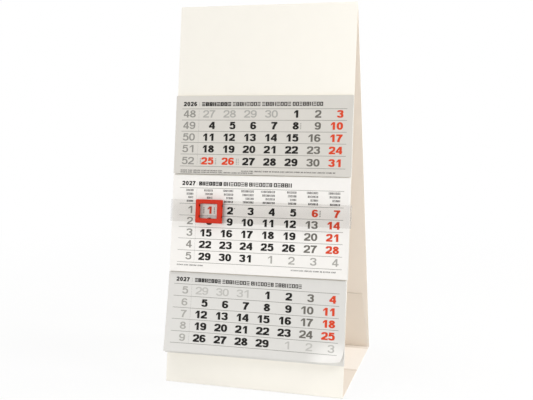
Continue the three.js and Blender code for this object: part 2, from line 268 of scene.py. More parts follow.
def join_rings(shape, rings, closed=False):
    """Faces between rings that have the same count of points, and from the last back to the first."""
    for first, second in zip(rings, rings[1:] + rings[:1] if closed else rings[1:]):
        for index in range(len(first)):
            follow = (index + 1) % len(first)
            shape.faces.new((first[index], first[follow], second[follow], second[index]))


def inset_outline(points, amount):
    """The outline moved into its own area by an amount, corner by corner (anticlockwise points)."""
    moved = []
    for index, point in enumerate(points):
        before = (Vector(point) - Vector(points[index - 1])).normalized()
        after = (Vector(points[(index + 1) % len(points)]) - Vector(point)).normalized()
        inward_before = Vector((-before.y, before.x))
        inward_after = Vector((-after.y, after.x))
        bisector = inward_before + inward_after
        reach = amount / max(0.3, 0.5 * bisector.length_squared)
        moved.append(Vector(point) + reach * bisector)
    return moved


def bar_across(profile, left, right, rounding=CUT_EDGE_ROUNDING, end_slot=1):
    """A bar with the given outline in (y, z) and its two cut ends slightly rounded."""
    area = sum(a[0] * b[1] - b[0] * a[1] for a, b in zip(profile, profile[1:] + profile[:1]))
    if area < 0:
        profile = profile[::-1]
    shape = bmesh.new()
    middle = inset_outline(profile, 0.3 * rounding)
    inner = inset_outline(profile, rounding)
    rings = [
        (left, inner), (left + 0.3 * rounding, middle), (left + rounding, profile),
        (right - rounding, profile), (right - 0.3 * rounding, middle), (right, inner),
    ]
    loops = [[shape.verts.new((x, point[0], point[1])) for point in ring] for x, ring in rings]
    join_rings(shape, loops)
    caps = [shape.faces.new(loops[0][::-1]), shape.faces.new(loops[-1])]
    for cap in caps:
        cap.material_index = end_slot
    bmesh.ops.triangulate(shape, faces=caps, ngon_method="EAR_CLIP")
    finish_form(shape)
    return shape


def arc(centre, radius, start_degrees, end_degrees, steps=FOLD_STEPS):
    points = []
    for step in range(steps + 1):
        angle = math.radians(start_degrees + (end_degrees - start_degrees) * step / steps)
        points.append((centre[0] + radius * math.cos(angle), centre[1] + radius * math.sin(angle)))
    return points


def card_material(name, cream, fleck_depth=0.035, crease_shade_lines=()):
    """Uncoated solid card: matt, with cloudy fibre, faint flecks and a fine tooth that breaks the light.
    It has painted shade in lines across, given as (y, half width, share), where the creases are."""
    material, tree, place = new_material(name)
    cloud = noise(tree, place, 9, 4, Roughness=0.6)
    fleck = ranged(tree, noise(tree, place, 0.7, 3), 0.25, 0.45, 0.35, 0)
    tone = linear(cream)
    darker = [channel * (1 - fleck_depth) for channel in tone[:3]] + [1]
    colour = mixed(tree, fleck, mixed(tree, cloud, darker, tone), darker)
    for middle, half_width, share in crease_shade_lines:
        depth = add_node(tree, "SeparateXYZ", {"Vector": place}).outputs["Y"]
        away = maths(tree, "ABSOLUTE", maths(tree, "SUBTRACT", depth, middle / 1000))
        crease_shade = ranged(tree, away, 0.6 * half_width / 1000, half_width / 1000, share, 0)
        colour = mixed(tree, crease_shade, colour, linear(CARD_CREASE_SHADE))
    rough = ranged(tree, cloud, 0, 1, 0.74, 0.86)
    finish_material(tree, colour, rough, 1.45, (0.25, 0.00002, noise(tree, place, 0.25, 2)))
    return material


card_outside = card_material("cream solid card, outside", CARD_OUTSIDE_CREAM)
card_inside = card_material("cream solid card, inside", CARD_INSIDE_CREAM)
card_cut = card_material("cream solid card, cut edge", CARD_CUT_EDGE, 0.08)


def front_slope(outward, up):
    """(y, z) of a place that far outward of the front panel's outer face and that far up it."""
    return (FRONT_FOOT_Y + up * math.sin(LEAN) - outward * math.cos(LEAN),
            up * math.cos(LEAN) + outward * math.sin(LEAN))


def rear_slope(inward, up):
    return (REAR_FOOT_Y - up * math.sin(REAR_LEAN) - inward * math.cos(REAR_LEAN),
            up * math.cos(REAR_LEAN) - inward * math.sin(REAR_LEAN))


def card_panel(name, profile, inward, inside, body):
    """A panel of the board over its whole width. Its faces that look into the tent show the inside."""
    shape = bar_across(profile, CARD_LEFT, CARD_RIGHT)
    for face in shape.faces:
        if face.material_index == 0 and face.normal.dot(Vector(inward)) > 0.5:
            face.material_index = 2
    closed_piece(name, shape, [card_outside, card_cut, inside], body, body)


outward_degrees = 180 - math.degrees(LEAN)
rear_outward_degrees = math.degrees(REAR_LEAN)
ridge_end_degrees = rear_outward_degrees + RIDGE_GAP_DEGREES
profile = arc(FRONT_FOLD, FOLD_REACH, outward_degrees, 270)
profile += arc(FRONT_FOLD, FOLD_INNER_RADIUS, 270, outward_degrees)
profile += arc(RIDGE_FOLD, FOLD_INNER_RADIUS, outward_degrees, ridge_end_degrees)
profile += arc(RIDGE_FOLD, FOLD_REACH, ridge_end_degrees, outward_degrees, 2 * FOLD_STEPS)
card_panel("front_card", profile, (0, math.cos(LEAN), -math.sin(LEAN)), card_inside, "front_panel")

rear_up = (RIDGE_FOLD[1] + FOLD_REACH * math.sin(REAR_LEAN)) / math.cos(REAR_LEAN)
profile = [rear_slope(0, 0), rear_slope(0, rear_up), rear_slope(CARD_THICKNESS, rear_up),
           rear_slope(CARD_THICKNESS, CARD_THICKNESS * math.tan(REAR_LEAN))]
card_panel("rear_card", profile, (0, -math.cos(REAR_LEAN), -math.sin(REAR_LEAN)), card_inside,
           "rear_panel")

# The middle crease is scored from above, so the board is a thin web there between two slanted sides,
# here as (distance from the crease, height)
SCORE_WEB = 0.18
# A line of painted shade along the middle crease, as (y, half width, share)
BASE_SCORE_SHADE = (BASE_FOLD_Y, 1.5, 0.35)
SCORE_SIDE = [(HINGE_GAP, 0), (HINGE_GAP, SCORE_WEB), (0.12, SCORE_WEB), (0.45, 0.44),
              (0.75, CARD_THICKNESS)]
front_end, rear_end = FRONT_FOLD[0] + HINGE_GAP, REAR_FOLD[0] - HINGE_GAP
profile = [(front_end, 0)] + [(BASE_FOLD_Y - off, height) for off, height in SCORE_SIDE]
profile.append((front_end, CARD_THICKNESS))
# The base's rear half has painted shade along the middle crease and in three lines beside the rear crease
# and its bead
base_inside = card_material(
    "cream solid card, inside of the base with its scored lines", CARD_BASE_CREAM,
    crease_shade_lines=(BASE_SCORE_SHADE, (40.3, 0.8, 0.3), (42.0, 2.0, 0.2), (43.6, 0.7, 0.3)))
# The base's front half is a darker copy of the base's cream, as painted shade under the front panel
base_front_painted_shade = card_material("cream solid card, inside of the base's front half", CARD_BASE_FRONT_SHADED,
                                  crease_shade_lines=(BASE_SCORE_SHADE,))
card_panel("base_card_front", profile, (0, 0, 1), base_front_painted_shade, "base_front")

# Beside the rear crease the scoring pressed up a low bead
BEAD_Y = 42.31
BEAD_HALF_WIDTH = 0.8
BEAD_HEIGHT = 0.16
BEAD_STEPS = 8
profile = [(BASE_FOLD_Y + HINGE_GAP, 0), (rear_end, 0), (rear_end, CARD_THICKNESS)]
for step in range(BEAD_STEPS + 1):
    along = 1 - 2 * step / BEAD_STEPS
    rise = BEAD_HEIGHT * math.cos(along * math.pi / 2)
    profile.append((BEAD_Y + BEAD_HALF_WIDTH * along, CARD_THICKNESS + rise))
profile += [(BASE_FOLD_Y + off, height) for off, height in SCORE_SIDE[:0:-1]]
card_panel("base_card_rear", profile, (0, 0, 1), base_inside, "base_rear")


def flap_half_width(up):
    """The flap narrows towards its free edge, where its ends are cut back at a slant."""
    return (CARD_RIGHT - CARD_LEFT) / 2 - FLAP_SIDE_INSET - FLAP_TAPER * max(up, 0) / FLAP_HEIGHT


# Rows up the flap, with how much thinner each face is there: the free edge is a little rounded
FLAP_ROWS = [(up, 0) for up in (2, 4, 10, 20, 30, 37, 38.3)] + [(38.46, 0.03), (FLAP_HEIGHT, 0.08)]
shape = bmesh.new()
centre_x = (CARD_LEFT + CARD_RIGHT) / 2
stations = [(outer, inner, 0) for outer, inner in zip(
    arc(REAR_FOLD, FOLD_REACH, -90, rear_outward_degrees),
    arc(REAR_FOLD, FOLD_INNER_RADIUS, -90, rear_outward_degrees))]
for up, thin in FLAP_ROWS:
    outer, inner = FLAP_OUTER_FACE + thin, FLAP_INNER_FACE - thin
    stations.append((rear_slope(outer, up), rear_slope(inner, up), up))
rows = []
for outer, inner, up in stations:
    half = flap_half_width(up)
    rows.append([shape.verts.new((x, y, z)) for x, (y, z) in (
        (centre_x - half, outer), (centre_x + half, outer), (centre_x + half, inner),
        (centre_x - half, inner))])
join_rings(shape, rows)
shape.faces.new(rows[0][::-1])
shape.faces.new(rows[-1])
finish_form(shape)
for face in shape.faces:
    if abs(face.normal.x) > 0.9 or face.normal.z > 0.9:
        face.material_index = 1
closed_piece("glue_flap_card", shape, [card_inside, card_cut], "rear_panel", "glue_flap")


# ---- Pads
# How each pad hangs: its head down the panel, the height of its sheets, and how far the lower edge of
# the first and of the other sheets stands off at the left and right. The lift grows with a power of the
# distance from the head, and towards the left with a power of "side". A curl is how far from the corner
# it starts, across and up, and its radius. The bulge draws the first sheet up a little.
PADS = {
    "top": {"head": 52.1, "height": 45.3, "tilt": math.radians(0.25), "sideways": 0.15,
            "first": (0.5, 0.3), "rest": (0.25, 0.1), "power": 2, "side": 1, "curl": None},
    "middle": {"head": 98.0, "height": 56.1, "tilt": math.radians(0.4), "sideways": 0.15,
               "first": (1.1, 0.5), "rest": (0.7, 0.25), "power": 3, "side": 1, "curl": None},
    "bottom": {"head": 154.7, "height": 46.7, "tilt": math.radians(0.35), "sideways": 0,
               "first": (4.9, 0.6), "rest": (2.2, 0.35), "power": 1.3, "side": 3,
               "curl": (25, 12.5, 9.5), "drawn_up": 1.1},
}


# ---- Glue
# Dried white craft glue: a thin coat between the flap and the rear panel, and padding glue along the
# head of each pad. It is slightly yellow, a little glossy, and shows the brush in faint ridges.

GLUE_IVORY = "#F3EEE1"

glue, tree, place = new_material("dried padding glue")
stretched = add_node(tree, "Mapping", {"Vector": place, "Scale": (0.15, 1, 1)})
ridges = noise(tree, stretched, 0.8, 3)
tone = linear(GLUE_IVORY)
colour = mixed(tree, ridges, [c * 0.9 for c in tone], tone)
finish_material(tree, colour, 0.38, 1.47, (0.5, 0.00005, ridges))

for name in ("flap_glue", "top_pad_glue", "middle_pad_glue", "bottom_pad_glue"):
    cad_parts[name].data.materials.clear()
    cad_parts[name].data.materials.append(glue)

# Between two pads the padding glue was brushed on until it nearly filled the joint
JOINT_GLUE_WIDTH = 0.48
JOINT_GLUE_FRONT = 1.7
JOINT_GLUE_BACK = 0.1
HEAD_STRIP_FRONT = 0.2
HEAD_STRIP_HEIGHT = 8
BEAD_HALF_LENGTH = 52
BEAD_RINGS = 53
JOINT_GLUE_RIM = (
    (JOINT_GLUE_BACK, -HEAD_STRIP_HEIGHT), (HEAD_STRIP_FRONT, -HEAD_STRIP_HEIGHT),
    (HEAD_STRIP_FRONT, 0.06), (JOINT_GLUE_FRONT - 0.1, 0.06), (JOINT_GLUE_FRONT, 0.14),
    (JOINT_GLUE_FRONT + 0.03, 0.5 * JOINT_GLUE_WIDTH),
    (JOINT_GLUE_FRONT - 0.06, 0.85 * JOINT_GLUE_WIDTH),
    (JOINT_GLUE_FRONT - 0.3, JOINT_GLUE_WIDTH), (JOINT_GLUE_BACK, JOINT_GLUE_WIDTH),
)
for pad_name in ("middle", "bottom"):
    pad = PADS[pad_name]
    bead = bmesh.new()
    rings = []
    for step in range(BEAD_RINGS):
        along = BEAD_HALF_LENGTH * (2 * step / (BEAD_RINGS - 1) - 1)
        x = centre_x + pad["sideways"] + along
        up = PANEL_SLOPE - pad["head"] + along * math.sin(pad["tilt"])
        rings.append([bead.verts.new((x, *front_slope(outward, up + above)))
                      for outward, above in JOINT_GLUE_RIM])
    join_rings(bead, rings)
    bead.faces.new(rings[0][::-1])
    bead.faces.new(rings[-1])
    finish_form(bead, 50)
    closed_piece(f"{pad_name}_pad_padding_glue", bead, [glue], "front_panel",
                 f"{pad_name}_pad_glue")


# ---- Paper of the month pads
# Thin uncoated offset paper, twelve sheets a pad. The top and the bottom pad carry a light grey ground
# printed on white stock, so their cut edges are white; the middle pad is bare white stock.

TOP_GROUND = "#D8D4CD"
MIDDLE_STOCK = "#F6F3EF"
BOTTOM_GROUND = "#DEDCD8"
STOCK_WHITE = "#F6F4F0"

# Where the bottom page's curled corner has a painted highlight, white in place of the grey ground, and
# the reach of the fade, in metres
CORNER_PAINTED_HIGHLIGHT = ((0.047, -0.042, 0.017), 0.007, 0.018)
SHEETS_PER_PAD = 12
PAPER_THICKNESS = 0.1
PAPER_PITCH = 0.15
PAD_BACK = 0.3
PAGE_WIDTH = 105
UNDER_SHEET_ROWS = 10
UNDER_SHEET_COLUMNS = 4


def paper_material(name, front_hex, back_hex=None, highlight_round=None):
    """Uncoated paper: matt, cloudy where the fibres lie thicker, with a fine tooth. With a second colour
    the first one is a printed ground that lies only on the side that looks outward. The ground can fade
    to the second colour round a corner, as a painted highlight there."""
    material, tree, place = new_material(name)
    cloud = noise(tree, place, 5, 5, Roughness=0.65)
    grain = noise(tree, place, 0.45, 2)
    mottled = []
    for tone in [linear(front_hex)] + ([linear(back_hex)] if back_hex else []):
        darker = [channel * 0.955 for channel in tone[:3]] + [1]
        lighter = [min(1, channel * 1.012) for channel in tone[:3]] + [1]
        speck = ranged(tree, grain, 0.3, 0.5, 0.5, 0)
        mottled.append(mixed(tree, speck, mixed(tree, cloud, darker, lighter), darker))
    colour = mottled[0]
    if back_hex:
        outward = (0, -math.cos(LEAN), math.sin(LEAN))
        normal = add_node(tree, "TexCoord").outputs["Normal"]
        printed = maths(tree, "GREATER_THAN", vector_maths(tree, "DOT_PRODUCT", normal, outward), 0.9)
        if highlight_round:
            corner, near, far = highlight_round
            # A painted highlight: near the corner the ground gives way to the second colour
            distance = vector_maths(tree, "DISTANCE", place, corner)
            printed = ranged(tree, distance, near, far, 0, 1, "SMOOTHSTEP")
        colour = mixed(tree, printed, mottled[1], mottled[0])
    rough = ranged(tree, cloud, 0, 1, 0.68, 0.8)
    finish_material(tree, colour, rough, 1.45, (0.2, 0.00001, grain))
    return material


white_stock = paper_material("white offset paper", STOCK_WHITE)
page_grounds = {
    "top": paper_material("offset paper, grey ground of the top page", TOP_GROUND),
    "middle": paper_material("offset paper, middle page", MIDDLE_STOCK),
    "bottom": paper_material("offset paper, grey ground of the bottom page", BOTTOM_GROUND, STOCK_WHITE,
                             CORNER_PAINTED_HIGHLIGHT),
}
under_sheets = {
    "top": paper_material("offset paper, top pad's under-sheets", TOP_GROUND, STOCK_WHITE),
    "middle": paper_material("offset paper, middle pad's under-sheets", MIDDLE_STOCK),
    "bottom": paper_material("offset paper, bottom pad's under-sheets", BOTTOM_GROUND, STOCK_WHITE),
}
for pad_name, material in under_sheets.items():
    for number in range(1, SHEETS_PER_PAD + 1):
        sheet_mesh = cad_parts[f"{pad_name}_sheet_{number:02d}"].data
        sheet_mesh.materials.clear()
        sheet_mesh.materials.append(material)


def sheet_back(pad, order, across, down):
    """Place of a sheet's back face, as (sideways, outward, up) on the front panel's slope."""
    first = order == 0
    left, right = pad["first"] if first else pad["rest"]
    share = 1 if first else 1 - (order - 1) / (SHEETS_PER_PAD - 1)
    leftward = max(0.5 - across / PAGE_WIDTH, 0)
    lift = right + (left - right) * leftward ** pad["side"]
    outward = PAD_BACK + (SHEETS_PER_PAD - 1 - order) * PAPER_PITCH
    outward += share * lift * max(down / pad["height"], 0) ** pad["power"]
    sideways, up = across, -down
    if first and pad["curl"]:
        up *= 1 - pad["drawn_up"] / pad["height"]
        cut_across, cut_up, radius = pad["curl"]
        slant = math.hypot(cut_across, cut_up)
        corner_across, corner_down = cut_up / slant, cut_across / slant
        beyond = (across - (PAGE_WIDTH / 2 - cut_across)) * corner_across
        beyond += (down - pad["height"]) * corner_down
        if beyond > 0:
            turn = beyond / radius
            drawn_in = radius * math.sin(turn) - beyond
            sideways += drawn_in * corner_across
            up -= drawn_in * corner_down
            outward += radius * (1 - math.cos(turn))
    return Vector((sideways, outward, up))


def sheet_point(pad_name, order, across, down, height):
    """Place on a sheet in the row frame, in millimetres, that far off its back face."""
    pad = PADS[pad_name]
    tiny = 0.01
    along, falling = (
        sheet_back(pad, order, across + a, down + d) - sheet_back(pad, order, across - a, down - d)
        for a, d in ((tiny, 0), (0, tiny)))
    off_paper = height * along.cross(falling).normalized()
    sideways, outward, up = sheet_back(pad, order, across, down) + off_paper
    cosine, sine = math.cos(pad["tilt"]), math.sin(pad["tilt"])
    x = centre_x + pad["sideways"] + sideways * cosine - up * sine
    slope_up = PANEL_SLOPE - pad["head"] + sideways * sine + up * cosine
    y, z = front_slope(outward, slope_up)
    return Vector((x, y, z))


PAGE_STEP_ACROSS = 2.0
PAGE_STEP_DOWN = 1.4
CURL_STEP = 0.5
CURL_MARGIN = 3


def steps_between(start, end, longest):
    count = max(1, math.ceil((end - start) / longest))
    return [start + (end - start) * step / count for step in range(count + 1)]


def page(pad_name, name, body, node):
    """The first sheet of a pad, as a closed sheet with its printed front, white back and cut edges. Its
    net is finer round a curled corner."""
    pad = PADS[pad_name]
    half = PAGE_WIDTH / 2
    fine_from = half - pad["curl"][0] - CURL_MARGIN if pad["curl"] else half
    low_from = pad["height"] - pad["curl"][1] - CURL_MARGIN if pad["curl"] else pad["height"]
    acrosses = steps_between(-half, fine_from, PAGE_STEP_ACROSS)
    downs = steps_between(0, low_from, PAGE_STEP_DOWN)
    if pad["curl"]:
        acrosses += steps_between(fine_from, half, CURL_STEP)[1:]
        downs += steps_between(low_from, pad["height"], CURL_STEP)[1:]
    shape = bmesh.new()
    back, front = [[[shape.verts.new(sheet_point(pad_name, 0, across, down, height))
                     for across in acrosses] for down in downs] for height in (0, PAPER_THICKNESS)]
    last_row, last_column = len(downs) - 1, len(acrosses) - 1
    for row in range(last_row):
        for column in range(last_column):
            shape.faces.new((front[row][column], front[row + 1][column],
                             front[row + 1][column + 1], front[row][column + 1]))
            plain = shape.faces.new((back[row][column], back[row][column + 1],
                                     back[row + 1][column + 1], back[row + 1][column]))
            plain.material_index = 1
    rim = [(0, column) for column in range(last_column)]
    rim += [(row, last_column) for row in range(last_row)]
    rim += [(last_row, column) for column in range(last_column, 0, -1)]
    rim += [(row, 0) for row in range(last_row, 0, -1)]
    for (row, column), (next_row, next_column) in zip(rim, rim[1:] + rim[:1]):
        edge = shape.faces.new((back[row][column], front[row][column],
                                front[next_row][next_column], back[next_row][next_column]))
        edge.material_index = 1
    finish_form(shape)
    closed_piece(name, shape, [page_grounds[pad_name], white_stock], body, node)


page("top", "top_page_sheet", "top_page", "top_sheet_01")
page("middle", "middle_page_sheet", "front_panel", "middle_sheet_01")
page("bottom", "bottom_page_sheet", "bottom_page", "bottom_sheet_01")


# ---- Printing
# Offset ink on the pages: plain numbers, hairline rules, and blocks that stand in for words. The ink is
# drawn as a film 0.015 mm thick, a little thicker than real ink, so that it is a solid of its own.

INK_LIFT = 0.006
INK_THICKNESS = 0.015
INK_THINNING = 0.03

# How much higher the print lies at a page's left end, as the sheets went through the press
PRINT_ASKEW = {"top": 0, "middle": 0, "bottom": 0.5}

# Digits: height and pitch in millimetres, and pens as half widths across and up in units of the drawing
DIGIT_HEIGHT = 4.25
DIGIT_ADVANCE = 3.9
DIGIT_WIDENED = 1.22
DIGIT_UNITS = 1000
BOLD_PEN = (130, 109)
MEDIUM_PEN = (110, 95)
WEEK_PEN = (93, 81)
PLAIN_PEN = (88, 78)
CURVE_STEPS = 12


def bezier(start, control_a, control_b, end):
    points = []
    for step in range(1, CURVE_STEPS + 1):
        t = step / CURVE_STEPS
        points.append(tuple(
            (1 - t) ** 3 * p + 3 * (1 - t) ** 2 * t * a + 3 * (1 - t) * t ** 2 * b + t ** 3 * q
            for p, a, b, q in zip(start, control_a, control_b, end)))
    return points


def curve(start, *segments):
    points = [start]
    for segment in segments:
        points += bezier(points[-1], *segment)
    return points


def ellipse(centre, radius_x, radius_y, squareness, count=40):
    points = []
    for step in range(count):
        angle = 2 * math.pi * step / count
        cosine, sine = math.cos(angle), math.sin(angle)
        points.append((centre[0] + radius_x * math.copysign(abs(cosine) ** squareness, cosine),
                       centre[1] + radius_y * math.copysign(abs(sine) ** squareness, sine)))
    return points


def drawn_with_pen(points, pen, closed=False):
    """Triangles of a stroke that an elliptical pen leaves along a line of points."""
    count = len(points)
    sides = []
    for index in range(count):
        before = points[index - 1] if closed or index else points[index]
        after = points[(index + 1) % count] if closed or index < count - 1 else points[index]
        direction = Vector((after[0] - before[0], after[1] - before[1])).normalized()
        normal = Vector((-direction.y, direction.x))
        size = math.hypot(pen[0] * normal.x, pen[1] * normal.y)
        offset = Vector((pen[0] ** 2 * normal.x, pen[1] ** 2 * normal.y)) / size
        middle = Vector(points[index])
        sides.append((middle + offset, middle - offset))
    pairs = list(zip(sides, sides[1:] + sides[:1])) if closed else list(zip(sides, sides[1:]))
    return [(first[0], first[1], second[1]) for first, second in pairs] + [
        (first[0], second[1], second[0]) for first, second in pairs]


def polygon(*corners):
    return [tuple(Vector(corner) for corner in corners)]


def box_shape(left, right, low, high):
    return polygon((left, low), (right, low), (right, high), (left, high))


def digit_parts(digit, pen):
    """The strokes of a plain upright digit, 700 units wide and 1000 high, as polygons. The four signs
    with a name are no writing: they stand in for the letters of print."""
    a, b = pen
    left, right, top, low = a, 700 - a, 1000 - b, b
    sides = box_shape(0, 2 * a, 0, 1000) + box_shape(700 - 2 * a, 700, 0, 1000)
    rungs = box_shape(0, 700, 0, 2 * b) + box_shape(0, 700, 1000 - 2 * b, 1000)
    middle_rung = box_shape(0, 700, 500 - b, 500 + b)
    signs = {"posts": sides, "bars": rungs + middle_rung, "frame": sides + rungs,
             "ladder": sides + rungs + middle_rung}
    if digit in signs:
        return signs[digit]
    if digit == "0":
        return drawn_with_pen(ellipse((350, 500), 350 - a, 500 - b, 0.86), pen, closed=True)
    if digit == "1":
        stem = 590
        return box_shape(stem - 2 * a, stem, 0, 1000) + polygon(
            (stem - 2 * a, 1000), (120, 850 - b), (120, 850 - 3 * b), (stem - 2 * a, 1000 - 2.6 * b))
    if digit == "2":
        line = curve((left, 680), ((left, 880), (190, top), (350, top)),
                     ((520, top), (right, 900), (right, 715)),
                     ((right, 560), (540, 470), (380, 370)),
                     ((230, 270), (130, 200), (left + 10, b)))
        return drawn_with_pen(line, pen) + box_shape(0, 700, 0, 2 * b)
    if digit == "3":
        upper = curve((left, 740), ((left, 880), (190, top), (350, top)),
                      ((520, top), (right - 10, 890), (right - 10, 740)),
                      ((right - 10, 600), (480, 530), (300, 530)))
        lower = curve((300, 530), ((520, 530), (right, 440), (right, 280)),
                      ((right, 130), (520, low), (350, low)),
                      ((180, low), (left, 140), (left, 280)))
        return drawn_with_pen(upper, pen) + drawn_with_pen(lower, pen)
    if digit == "4":
        stem = 390
        slope = polygon((0, 200), (1.6 * a, 200 + 1.6 * b), (stem + a, 1000 - 1.9 * b),
                        (stem + a, 1000))
        slope += polygon((0, 200), (stem + a, 1000), (stem - 10, 1000), (0, 200 + 2 * b))
        return box_shape(stem, stem + 2 * a, 0, 1000) + box_shape(0, 700, 200, 200 + 2 * b) + slope
    if digit == "5":
        bowl = curve((110, 560), ((200, 640), (280, 650), (360, 650)),
                     ((540, 650), (right, 530), (right, 335)),
                     ((right, 160), (530, low), (350, low)),
                     ((190, low), (left, 150), (left, 270)))
        arm = polygon((100, 1000), (40, 470), (40 + 1.8 * a, 490), (100 + 1.6 * a, 1000))
        return drawn_with_pen(bowl, pen) + box_shape(100, 640, 1000 - 2 * b, 1000) + arm
    if digit in "69":
        bowl = ellipse((350, 325), 350 - a, 325 - b, 0.95)
        back = curve((right - 20, 750), ((right - 40, 880), (500, top), (365, top)),
                     ((180, top), (left + 3, 800), (left + 3, 460)),
                     ((left + 3, 400), (left + 3, 370), (left + 3, 340)))
        parts = drawn_with_pen(bowl, pen, closed=True) + drawn_with_pen(back, pen)
        if digit == "9":
            parts = [tuple(Vector((700, 1000)) - corner for corner in part) for part in parts]
        return parts
    if digit == "7":
        leg = curve((590, 920), ((400, 660), (270, 380), (235, 0)))
        return drawn_with_pen(leg, (1.05 * a, 1.05 * b)) + box_shape(0, 690, 1000 - 2 * b, 1000)
    upper = ellipse((350, 750), 310 - a, 250 - b, 0.95)
    lower = ellipse((350, 285), 350 - a, 285 - b, 0.95)
    return drawn_with_pen(upper, pen, closed=True) + drawn_with_pen(lower, pen, closed=True)


def melted(parts):
    """Polygons melted into one flat net of triangles, as (points, triangles)."""
    points, faces = [], []
    for part in parts:
        area = sum(p.x * q.y - q.x * p.y for p, q in zip(part, part[1:] + part[:1]))
        if abs(area) < 1:
            continue
        corners = part if area > 0 else part[::-1]
        faces.append(list(range(len(points), len(points) + len(corners))))
        points += [Vector((corner.x, corner.y)) for corner in corners]
    net = geometry.delaunay_2d_cdt(points, [], faces, 1, 0.001)
    inked = [triangle for triangle, sources in zip(net[2], net[5]) if sources]
    return net[0], inked


digit_nets = {}


def digit_net(digit, pen):
    if (digit, pen) not in digit_nets:
        digit_nets[digit, pen] = melted(digit_parts(digit, pen))
    return digit_nets[digit, pen]


def page_point(pad_name, order, across, down, height):
    """Place on a page. The sheets below the first are the assembly's own, with flat faces between their
    rows and columns, and print on them lies on those faces."""
    pad = PADS[pad_name]
    if order == 0:
        return sheet_point(pad_name, order, across, down, height)
    columns = 1 if pad["side"] == 1 else UNDER_SHEET_COLUMNS
    column_place = (across / PAGE_WIDTH + 0.5) * columns
    row_place = down / pad["height"] * UNDER_SHEET_ROWS
    column, row = min(int(column_place), columns - 1), min(int(row_place), UNDER_SHEET_ROWS - 1)
    along, below = column_place - column, row_place - row

    def corner(rows, columns_on):
        return sheet_point(pad_name, order, PAGE_WIDTH * ((column + columns_on) / columns - 0.5),
                           pad["height"] * (row + rows) / UNDER_SHEET_ROWS, height)

    start, end = corner(0, 0), corner(1, 1)
    if below > along:
        turn = corner(1, 0)
        return start + (turn - start) * below + (end - turn) * along
    turn = corner(0, 1)
    return start + (turn - start) * along + (end - turn) * below


class Printing:
    """One ink on one page: flat nets laid on the page's front and given the ink's thickness."""

    def __init__(self, pad_name, order):
        self.pad_name = pad_name
        self.order = order
        self.shape = bmesh.new()

    def lay(self, points, triangles):
        """Points are (across, down) on the page in millimetres."""
        heights = (PAPER_THICKNESS + INK_LIFT, PAPER_THICKNESS + INK_LIFT + INK_THICKNESS)
        askew = PRINT_ASKEW[self.pad_name]
        placed = [(across, down + askew * (across / PAGE_WIDTH - 0.5)) for across, down in points]
        under, over = [[self.shape.verts.new(page_point(self.pad_name, self.order, *point, height))
                        for point in placed] for height in heights]
        used = {}
        for triangle in triangles:
            self.shape.faces.new([over[index] for index in triangle])
            self.shape.faces.new([under[index] for index in reversed(triangle)])
            for first, second in zip(triangle, triangle[1:] + triangle[:1]):
                used[first, second] = True
        for first, second in used:
            if (second, first) not in used:
                self.shape.faces.new((under[first], under[second], over[second], over[first]))

    def block(self, left, right, top, bottom, longest=1.5):
        """A filled oblong, in steps short enough to follow the bulge of the page."""
        acrosses, downs = steps_between(left, right, longest), steps_between(top, bottom, longest)
        points = [(across, down) for across in acrosses for down in downs]
        rows = len(downs)
        triangles = []
        for column in range(len(acrosses) - 1):
            for row in range(rows - 1):
                near = column * rows + row
                triangles += [[near, near + 1, near + rows + 1], [near, near + rows + 1, near + rows]]
        self.lay(points, triangles)

    def number(self, text, right, baseline, height=DIGIT_HEIGHT, pen=BOLD_PEN, advance=DIGIT_ADVANCE,
               widened=DIGIT_WIDENED):
        """Digits set against a right-hand edge."""
        up_scale = height / DIGIT_UNITS
        across_scale = widened * up_scale
        for place, digit in enumerate(reversed(text)):
            points, triangles = digit_net(digit, pen)
            start = right - place * advance - 700 * across_scale
            laid = [(start + point.x * across_scale, baseline - point.y * up_scale) for point in points]
            self.lay(laid, triangles)

    def words(self, left, widths, top, height, letter, gap, space, pen):
        """A row of small signs that stand in for print, in words of the given widths. Returns its end."""
        across = left
        for width in widths:
            count = max(1, round((width + gap) / (letter + gap)))
            pitch = (width + gap) / count
            for place in range(count):
                points, triangles = digit_net(SIGNS[(3 * place + count) % len(SIGNS)], pen)
                self.lay([(across + (pitch - gap) * point.x / 700,
                           top + height * (1 - point.y / DIGIT_UNITS)) for point in points], triangles)
                across += pitch
            across += space - gap
        return across

    def piece(self, name, material, body, record_slot):
        if not self.shape.faces:
            self.shape.free()
            return
        unused = [vert for vert in self.shape.verts if not vert.link_faces]
        bmesh.ops.delete(self.shape, geom=unused, context="VERTS")
        closed_piece(name, self.shape, [material], body)


def ink_material(name, ink_hex, roughness=0.6):
    """Flat offset ink: matt, a little uneven where the paper's tooth took less of it."""
    material, tree, place = new_material(name)
    tone = linear(ink_hex)
    thinner = [channel + INK_THINNING * (0.8 - channel) for channel in tone[:3]] + [1]
    share = ranged(tree, noise(tree, place, 0.3, 3), 0.35, 0.75, 0, 0.5)
    finish_material(tree, mixed(tree, share, tone, thinner), roughness, 1.48, specular=0.2)
    return material


inks = {
    "black": (ink_material("black offset ink", "#120F0B"), "black_ink"),
    "red": (ink_material("red offset ink", "#D8421D", 0.55), "red_ink"),
    "saturday": (ink_material("mid grey offset ink", "#6D6A63"), "grey_ink"),
    "week": (ink_material("light grey offset ink", "#93918B"), "grey_ink"),
    "faint": (ink_material("faint grey offset ink", "#ABA9A3"), "grey_ink"),
    "faintest": (ink_material("palest grey offset ink", "#C0BEB9"), "grey_ink"),
    "rule": (ink_material("grey hairline ink", "#74716B"), "grey_ink"),
    "small": (ink_material("small print ink", "#2B2724"), "black_ink"),
}

# Widest of the four small lines over each column of the middle page, and what share of it each line takes
WEEKDAY_WIDTHS = [4.6, 5.2, 6.2, 7.5, 8.2, 5.4, 6.5, 6.6]
WEEKDAY_SHARES = [1, 0.9, 0.65, 0.85]
WEEKDAY_INSET = 0.3

